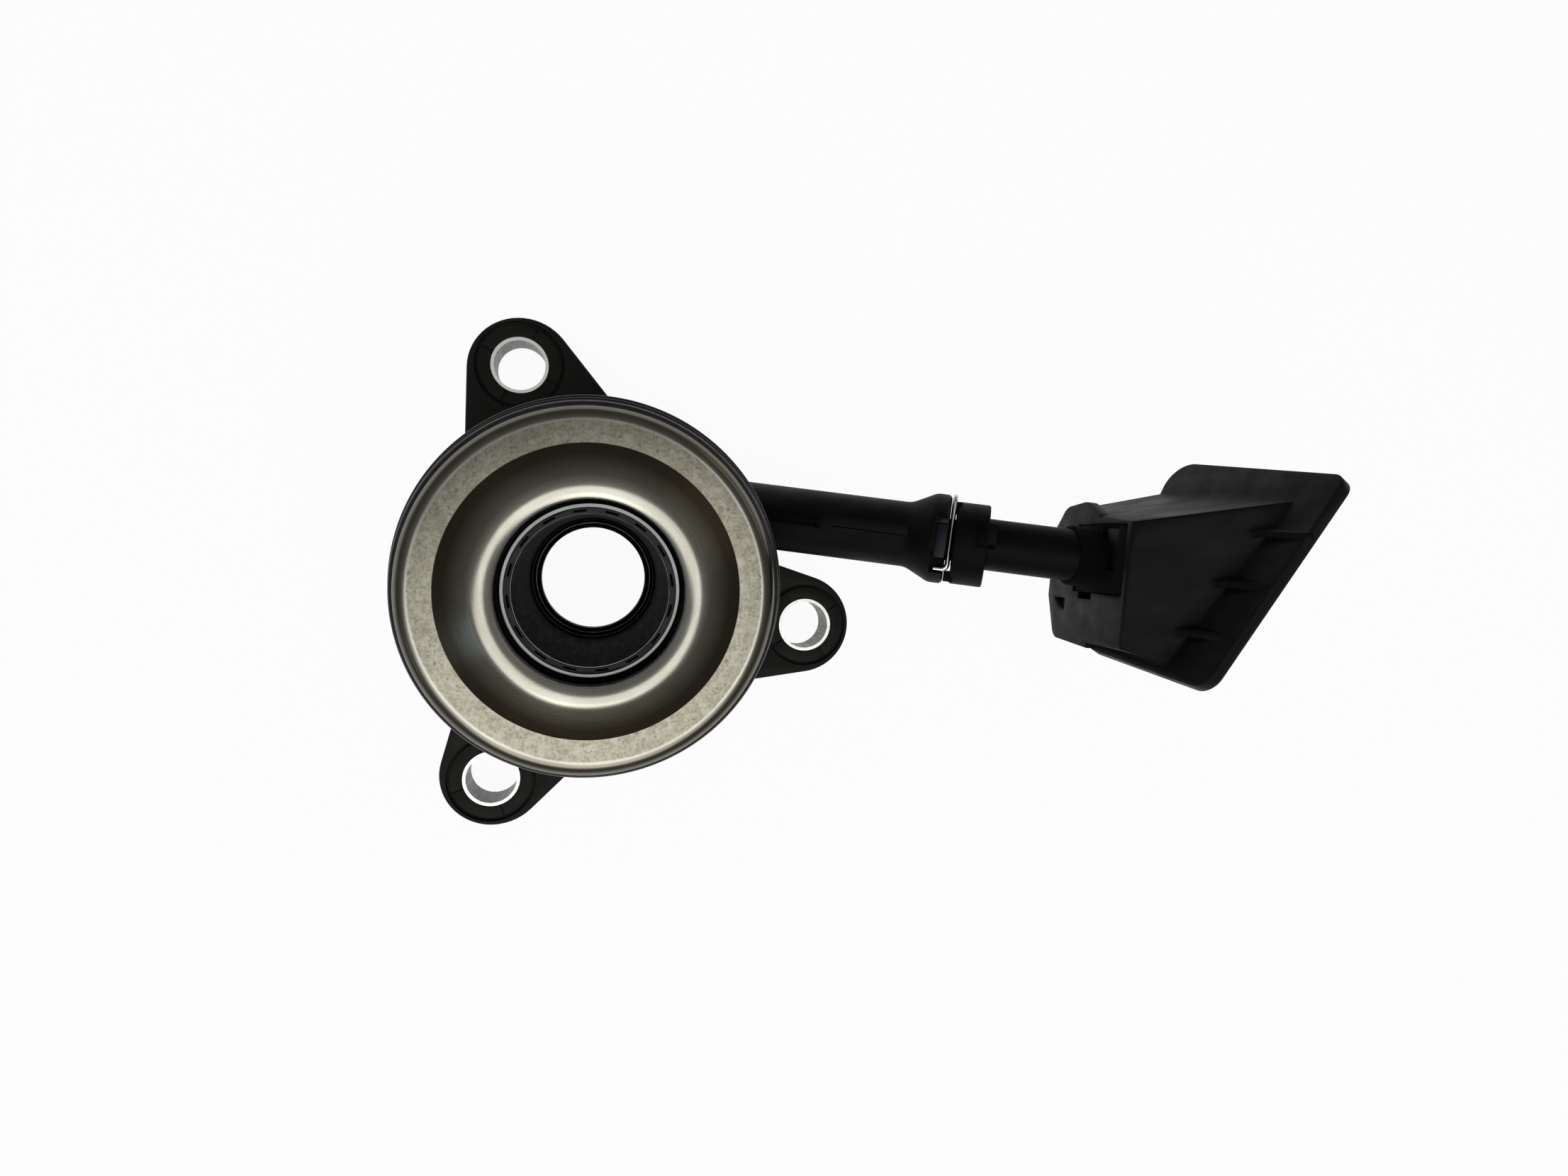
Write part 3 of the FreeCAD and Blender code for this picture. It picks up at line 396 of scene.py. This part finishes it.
def make_materials():
    """All finishes by the names of their slots."""
    moulded, worked = moulded_plastic, worked_steel
    # Painted light greys the housing's low parts
    housing_low_painted_light = (9.5, 13.0, (0.0185, 0.0178, 0.0158))
    made = [
        moulded("housing_plastic", (0.0016, 0.0016, 0.0015), (0.0040, 0.0039, 0.0035), 0.54,
                sheen=0.10, film=housing_low_painted_light),
        moulded("closure_plastic", (0.0010, 0.0010, 0.0008), (0.0024, 0.0023, 0.0019), 0.55,
                grain=0.35, depth=0.02, sheen=0.16, soft=1.3),
        moulded("connector_plastic", (0.0020, 0.0020, 0.0021), (0.0040, 0.0040, 0.0040), 0.50, sheen=0.06),
        moulded("stop_plastic", (0.003, 0.003, 0.0036), (0.006, 0.006, 0.007), 0.24, grain=0.4, depth=0.003),
        moulded("piston_plastic", (0.012, 0.012, 0.013), (0.02, 0.02, 0.022), 0.45),
        moulded("wiper_plastic", (0.10, 0.10, 0.103), (0.14, 0.14, 0.143), 0.5),
        moulded("cage_plastic", (0.22, 0.16, 0.07), (0.28, 0.22, 0.11), 0.5),
        moulded("seal_rubber", (0.004, 0.004, 0.0042), (0.007, 0.007, 0.0072), 0.65,
                grain=0.3, depth=0.01, sheen=0.15),
        moulded("grommet_rubber", (0.0010, 0.0010, 0.0011), (0.0022, 0.0022, 0.0024), 0.85,
                grain=0.3, depth=0.01, sheen=0.10),
        moulded("shield_rubber", (0.007, 0.007, 0.0075), (0.011, 0.011, 0.0115), 0.6, grain=0.3, depth=0.01),
        moulded("window_plastic", (0.002, 0.002, 0.007), (0.004, 0.004, 0.012), 0.35,
                grain=0.3, depth=0.004, sheen=0.25),
        moulded("seam_shadow", (0.0005, 0.0005, 0.0005), (0.001, 0.001, 0.001), 0.9, sheen=0.05),
        worked("carrier_metal", (0.022, 0.021, 0.0205), 0.42, metal=0.5),
        worked("cap_steel", (0.060, 0.058, 0.053), 0.38, grain=0.9),
        worked("bearing_steel", (0.30, 0.295, 0.275), 0.25, stretch=(1, 1, 3)),
        worked("ball_steel", (0.60, 0.60, 0.61), 0.08, grain=0.4),
        worked("spring_steel", (0.12, 0.12, 0.123), 0.34, grain=0.4, specks=0.4),
        worked("bright_wire", (0.70, 0.70, 0.71), 0.14, grain=0.3),
        worked("edge_steel", (0.21, 0.216, 0.21), 0.15, grain=0.8, depth=0.001),
        sleeve_steel(), tube_steel(), face_steel(),
    ]
    return {material.name.split(".")[0]: material for material in made}


# Mesh helpers

def rounded_profile(corners):
    """Points along a closed outline of (radius, height, rounding) corners."""
    points = []
    count = len(corners)
    for i in range(count):
        before = Vector(corners[i - 1][:2])
        here = Vector(corners[i][:2])
        after = Vector(corners[(i + 1) % count][:2])
        radius = corners[i][2] if len(corners[i]) > 2 else 0
        if radius == 0:
            points.append(here)
            continue
        back, forth = (before - here).normalized(), (after - here).normalized()
        half = back.angle(forth) / 2
        centre = here + (back + forth).normalized() * (radius / sin(half))
        start = here + back * (radius / tan(half)) - centre
        end = here + forth * (radius / tan(half)) - centre
        turn = start.angle_signed(end)
        for k in range(CORNER_STEPS + 1):
            angle = -turn * k / CORNER_STEPS
            points.append(centre + Vector((start.x * cos(angle) - start.y * sin(angle),
                                           start.x * sin(angle) + start.y * cos(angle))))
    return points


def lathe(name, corners, segments=240):
    """Closed ring turned about the bearing axis from an outline in millimetres."""
    outline = rounded_profile(corners)
    count = len(outline)
    verts, faces = [], []
    for s in range(segments):
        angle = 2 * pi * s / segments
        verts += [Vector((p.x * cos(angle), p.x * sin(angle), p.y)) for p in outline]
    for s in range(segments):
        a, b = s * count, (s + 1) % segments * count
        for i in range(count):
            j = (i + 1) % count
            faces.append((a + i, b + i, b + j, a + j))
    scale = Matrix.Scale(MM, 4)
    mesh = bpy.data.meshes.new(name)
    mesh.from_pydata([scale @ v for v in verts], [], faces)
    return tidy_mesh(mesh)


def smooth(mesh):
    """Smooth shading, with sharp edges kept where two faces meet at an angle."""
    mesh.shade_smooth()
    mesh.set_sharp_from_angle(angle=radians(SHARP_ANGLE))
    return mesh


def tidy_mesh(mesh):
    """Doubles merged, faces turned outwards, shading smoothed."""
    shape = bmesh.new()
    shape.from_mesh(mesh)
    bmesh.ops.remove_doubles(shape, verts=shape.verts, dist=TURNED_MERGE)
    bmesh.ops.recalc_face_normals(shape, faces=shape.faces)
    shape.to_mesh(mesh)
    shape.free()
    return smooth(mesh)


def box_mesh(name, low, high, place=Matrix.Identity(4), rounding=0.0):
    """Box between two corners in millimetres, in the frame of place, with softened edges."""
    shape = bmesh.new()
    bmesh.ops.create_cube(shape, size=1.0)
    low, high = Vector(low), Vector(high)
    middle, size = (low + high) / 2, high - low
    for vert in shape.verts:
        vert.co = vert.co * size + middle
    if rounding:
        bmesh.ops.bevel(shape, geom=shape.edges[:], offset=rounding, segments=EDGE_STEPS, affect="EDGES",
                        profile=0.5)
    shape.transform(Matrix.Scale(MM, 4) @ place)
    mesh = bpy.data.meshes.new(name)
    shape.to_mesh(mesh)
    shape.free()
    return tidy_mesh(mesh)


def ball_mesh(name, radius, around=48, up=32):
    """Ball of rings of faces, closed by a point at each pole, the same in each run."""
    verts = [Vector((0, 0, -radius))]
    for k in range(1, up):
        wide, height = radius * sin(pi * k / up), -radius * cos(pi * k / up)
        verts += [Vector((wide * cos(2 * pi * s / around), wide * sin(2 * pi * s / around), height))
                  for s in range(around)]
    verts.append(Vector((0, 0, radius)))
    foot, top, last_ring = 0, len(verts) - 1, len(verts) - 1 - around
    faces = []
    for s in range(around):
        t = (s + 1) % around
        faces.append((foot, 1 + t, 1 + s))
        for ring in range(1, last_ring, around):
            faces.append((ring + s, ring + t, ring + around + t, ring + around + s))
        faces.append((top, last_ring + s, last_ring + t))
    mesh = bpy.data.meshes.new(name)
    mesh.from_pydata([v * MM for v in verts], [], faces)
    mesh.shade_smooth()
    return mesh


def from_solid(node, rounding=0.0):
    """Merged copy of a solid's mesh, with its flat faces made whole and its edges softened."""
    shape = bmesh.new()
    shape.from_mesh(nodes[node].data)
    bmesh.ops.remove_doubles(shape, verts=shape.verts, dist=SOLID_MERGE)
    bmesh.ops.dissolve_limit(shape, angle_limit=radians(FLAT_ANGLE), verts=shape.verts, edges=shape.edges)
    if rounding:
        edges = [edge for edge in shape.edges
                 if len(edge.link_faces) == 2 and edge.calc_face_angle() > radians(SHARP_ANGLE)]
        bmesh.ops.bevel(shape, geom=edges, offset=rounding * MM, segments=EDGE_STEPS, affect="EDGES",
                        profile=0.5, clamp_overlap=True)
    mesh = bpy.data.meshes.new(node)
    shape.to_mesh(mesh)
    shape.free()
    return smooth(mesh)


def baked(piece):
    """Plain mesh of an object with its modifiers applied."""
    graph = bpy.context.evaluated_depsgraph_get()
    mesh = bpy.data.meshes.new_from_object(piece.evaluated_get(graph))
    bpy.data.objects.remove(piece)
    return mesh


def ring_tree(name):
    """Node tree that sets copies of a part round a circle, each turned to face outwards."""
    tree = bpy.data.node_groups.new(name, "GeometryNodeTree")
    for label, kind in (("Count", "Int"), ("Radius", "Float"), ("Height", "Float"), ("Phase", "Float"),
                        ("Part", "Object"), ("Finish", "Material")):
        tree.interface.new_socket(label, in_out="INPUT", socket_type="NodeSocket" + kind)
    tree.interface.new_socket("Geometry", in_out="OUTPUT", socket_type="NodeSocketGeometry")
    add, link = tree.nodes.new, tree.links.new
    inputs, output = add("NodeGroupInput").outputs, add("NodeGroupOutput")
    points, part = add("GeometryNodePoints"), add("GeometryNodeObjectInfo")
    copies, whole = add("GeometryNodeInstanceOnPoints"), add("GeometryNodeRealizeInstances")
    paint = add("GeometryNodeSetMaterial")

    # The turn of each copy: its number times a whole turn, over the count, plus the phase
    turn = add("GeometryNodeInputIndex").outputs[0]
    for operation, other in (("MULTIPLY", 2 * pi), ("DIVIDE", "Count"), ("ADD", "Phase")):
        step = add("ShaderNodeMath")
        step.operation = operation
        link(turn, step.inputs[0])
        if isinstance(other, str):
            link(inputs[other], step.inputs[1])
        else:
            step.inputs[1].default_value = other
        turn = step.outputs[0]

    spin, arm = add("ShaderNodeCombineXYZ"), add("ShaderNodeCombineXYZ")
    swing = add("ShaderNodeVectorRotate")
    swing.rotation_type = "Z_AXIS"
    for source, target in (
            (turn, spin.inputs["Z"]),
            (inputs["Radius"], arm.inputs["X"]),
            (inputs["Height"], arm.inputs["Z"]),
            (arm.outputs[0], swing.inputs["Vector"]),
            (turn, swing.inputs["Angle"]),
            (inputs["Count"], points.inputs["Count"]),
            (swing.outputs[0], points.inputs["Position"]),
            (inputs["Part"], part.inputs["Object"]),
            (points.outputs[0], copies.inputs["Points"]),
            (part.outputs["Geometry"], copies.inputs["Instance"]),
            (spin.outputs[0], copies.inputs["Rotation"]),
            (copies.outputs[0], whole.inputs[0]),
            (whole.outputs[0], paint.inputs["Geometry"]),
            (inputs["Finish"], paint.inputs["Material"]),
            (paint.outputs[0], output.inputs[0])):
        link(source, target)
    return tree


def spread_round(name, mesh, count, radius, height, material, phase=0):
    """Copies of a mesh round a circle, made by a node tree and kept as a plain mesh."""
    template = bpy.data.objects.new(name + "_template", mesh)
    piece = bpy.data.objects.new(name, bpy.data.meshes.new(name))
    scene.collection.objects.link(piece)
    values = {"Count": count, "Radius": radius * MM, "Height": height * MM, "Phase": radians(phase),
              "Part": template, "Finish": material}
    modifier = piece.modifiers.new(name, "NODES")
    modifier.node_group = ring_tree(name)
    for item in modifier.node_group.interface.items_tree:
        if item.in_out == "INPUT":
            modifier[item.identifier] = values[item.name]
    result = baked(piece)
    bpy.data.objects.remove(template)
    return result


def add_piece(name, mesh, material, body, *replaced):
    """Piece of one mesh and one material that moves with a body and may stand for solids."""
    piece = bpy.data.objects.new(name, mesh)
    scene.collection.objects.link(piece)
    mesh.materials.clear()
    mesh.materials.append(material)
    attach(piece, body)
    if replaced:
        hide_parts(*replaced)
    return piece


# Pieces

def make_face_ring():
    """Turned profile of the face ring, with a crisp foot where the ground flat begins."""
    lip_outside, race_bore, race_low, race, rim_inside = 15.6, 17.4, 22.2, 23.0, 27.0
    race_end, groove_end, groove_top = 42.6, 44.46, 50.03
    rim_end, under, lip_end, shoulder, bore_top = 53.2, 56.5, 56.59, 59.35, 61.39
    crest_radius, crest_height, crest_rounding = 16.3, 62.40, 3.3
    groove_radius, groove_start, groove_step, groove_points = 3.3, 113.2, 10, 13
    profile = [
        (BORE_RADIUS, lip_end, 0.3), (BORE_RADIUS, bore_top, 0.15),
        (crest_radius, crest_height, crest_rounding), (FLAT_START, FLAT_HEIGHT, 0.3),
        (RIM_RADIUS, FLAT_HEIGHT, 2.2), (RIM_RADIUS, rim_end, 0.3), (rim_inside, rim_end, 0.3),
        (rim_inside, under, 0.8), (race, under, 0.8), (race, groove_top)]
    for i in range(groove_points):
        angle = radians(groove_start + i * groove_step)
        profile.append((BALLS["pitch"] + groove_radius * cos(angle),
                        BALLS["height"] + groove_radius * sin(angle)))
    profile += [
        (race_low, groove_end), (race_low, race_end, 0.4), (race_bore, race_end, 0.4),
        (race_bore, shoulder, 1.0), (lip_outside, shoulder, 0.5), (lip_outside, lip_end, 0.3)]
    return lathe("face_ring_skin", profile, 288)


def make_cap():
    """Cap rolled over the outer race."""
    seat, outside, lip = 29.7, 30.4, 29.2
    foot, lip_low, top = 40.5, 52.2, 52.8
    return lathe("retaining_cap_skin", [
        (seat, foot), (outside, foot), (outside, top, 0.8), (lip, top, 0.1), (lip, lip_low),
        (seat, lip_low)])


def make_carrier():
    """Pressed carrier with its stepped rim."""
    bore, step, inner_rim, upper_rim, rim = 15.2, 23.2, 30.8, 32.1, 33.06
    low, flange, under, seat, top = SPRING_TOP, 38.0, 39.3, 40.5, 42.0
    return lathe("bearing_carrier_skin", [
        (bore, under), (step, under), (step, low), (rim, low, 0.4), (rim, flange, 0.5),
        (upper_rim, flange, 0.1), (upper_rim, top, 0.3), (inner_rim, top, 0.3), (inner_rim, seat),
        (bore, seat)])


def make_stop_edge():
    """Polished bead of the stop ring, leaning slightly inwards and rolled over on both sides."""
    inner, inner_top, outer_top, outer = 13.26, 13.36, 13.97, 14.17
    foot, outer_shoulder, inner_shoulder, inner_crown, outer_crown = 53.0, 53.50, 53.64, 53.772, 53.795
    return lathe("stop_edge", [
        (inner, foot), (inner, inner_shoulder, 0.1), (inner_top, inner_crown, 0.12),
        (outer_top, outer_crown, 0.2), (outer, outer_shoulder, 0.15), (outer, foot)])


def make_balls():
    """The row of balls."""
    ball = ball_mesh("ball", BALLS["radius"])
    return spread_round("ball_row", ball, BALLS["count"], BALLS["pitch"], BALLS["height"],
                        materials["ball_steel"])


def make_slot_shadows():
    """Painted shadow: dark bars on the floors of the stop ring's slots."""
    count, radius, height, phase = 16, 12.8, 52.96, 97
    half_width, half_length, depth = 0.15, 0.95, 0.05
    bar = box_mesh("bar", (-half_width, -half_length, -depth), (half_width, half_length, 0.0))
    return spread_round("slot_shadows", bar, count, radius, height, materials["seam_shadow"], phase)


# Small blocks on the pipe: two corners as (side, up, station), finish and rounding of the edges; the
# near-black ones are painted shadows beside the key and along the mould seam
PIPE_BLOCKS = {
    "tube_key": ((0.1, 4.9, 76.9), (3.9, 5.62, 80.2), "connector_plastic", 0.12),
    # Painted shadow in the gap beside the key
    "key_slot": ((-0.95, 4.9, 78.7), (-0.3, 5.24, 80.1), "seam_shadow", 0),
    "window_plate": ((-3.9, 6.0, 68.35), (2.6, 6.75, 70.5), "window_plastic", 0.1),
    "window_tab": ((2.95, 6.0, 68.6), (4.0, 6.7, 70.5), "window_plastic", 0.1),
    # Painted shadows along the mould seam
    "seam_near": ((-0.82, 6.0, 35.3), (-0.62, 6.50, 45.2), "seam_shadow", 0),
    "seam_pit": ((-1.15, 6.0, 44.5), (-0.42, 6.49, 45.9), "seam_shadow", 0),
    "seam_far": ((-0.60, 6.0, 48.0), (-0.41, 6.52, 62.1), "seam_shadow", 0),
}

materials = make_materials()
place_camera()
light_studio()
lay_floor()

finishes = {entry["node"]: entry["material_slot"] for entry in frame["record"]["subparts"]}
bodies = frame["record"]["behaviour"]["bodies"]
body_of = {node: body for body, members in bodies.items() for node in members}
remade = {"balls": make_balls, "face_ring": make_face_ring, "retaining_cap": make_cap,
          "bearing_carrier": make_carrier}
roundings = {"housing": 0.22, "closure": 0.25, "lock_collar": 0.12, "tube_grommet": 0.15}
for node in sorted(nodes):
    skin = remade[node]() if node in remade else from_solid(node, roundings.get(node, 0.0))
    piece = add_piece(node + "_skin", skin, materials[finishes[node]], body_of[node], node)
    if node == "preload_spring":
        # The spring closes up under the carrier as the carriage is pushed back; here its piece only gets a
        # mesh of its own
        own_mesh(piece)

add_piece("stop_edge", make_stop_edge(), materials["edge_steel"], "slave_cylinder")
add_piece("slot_shadows", make_slot_shadows(), materials["seam_shadow"], "slave_cylinder")
for name, (low, high, finish, rounding) in PIPE_BLOCKS.items():
    block = box_mesh(name, low, high, PIPE_FRAME, rounding)
    add_piece(name, block, materials[finish], "slave_cylinder")
